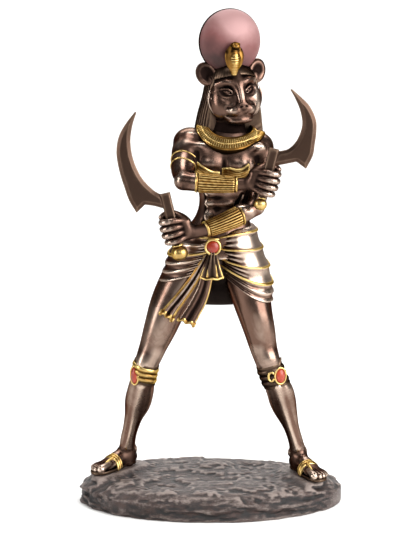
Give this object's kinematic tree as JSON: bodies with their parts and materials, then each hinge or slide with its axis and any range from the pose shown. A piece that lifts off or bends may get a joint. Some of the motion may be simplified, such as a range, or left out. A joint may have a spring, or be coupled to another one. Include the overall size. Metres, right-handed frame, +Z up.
{
  "type": "sekhmet statue",
  "caption": "Standing lioness-headed goddess with sun disc, crossed forearms and a sickle sword in each fist, on an oval rock base.",
  "frame": {"origin": "middle of the base's flat underside", "axes": "+Z up, the figure faces -Y, +X towards the figure's left side"},
  "size_m": [0.1515, 0.0978, 0.28],
  "materials": {
    "bronze": "cold-cast bronze resin, satin, dark recesses and bright rubbed edges",
    "blade_bronze": "cold-cast bronze resin, satin brown",
    "rock": "cold-cast resin painted as layered rock, dark crevices",
    "gold_paint": "hand-painted metallic gold with a dark wash",
    "red_enamel": "glossy red paint on the stones",
    "rose_disc": "rose metallic paint, satin"
  },
  "bodies": {
    "root": {"figure": "bronze", "khopesh_left_hand": "blade_bronze", "khopesh_right_hand": "blade_bronze", "rock_base": "rock"}
  },
  "joints": []
}
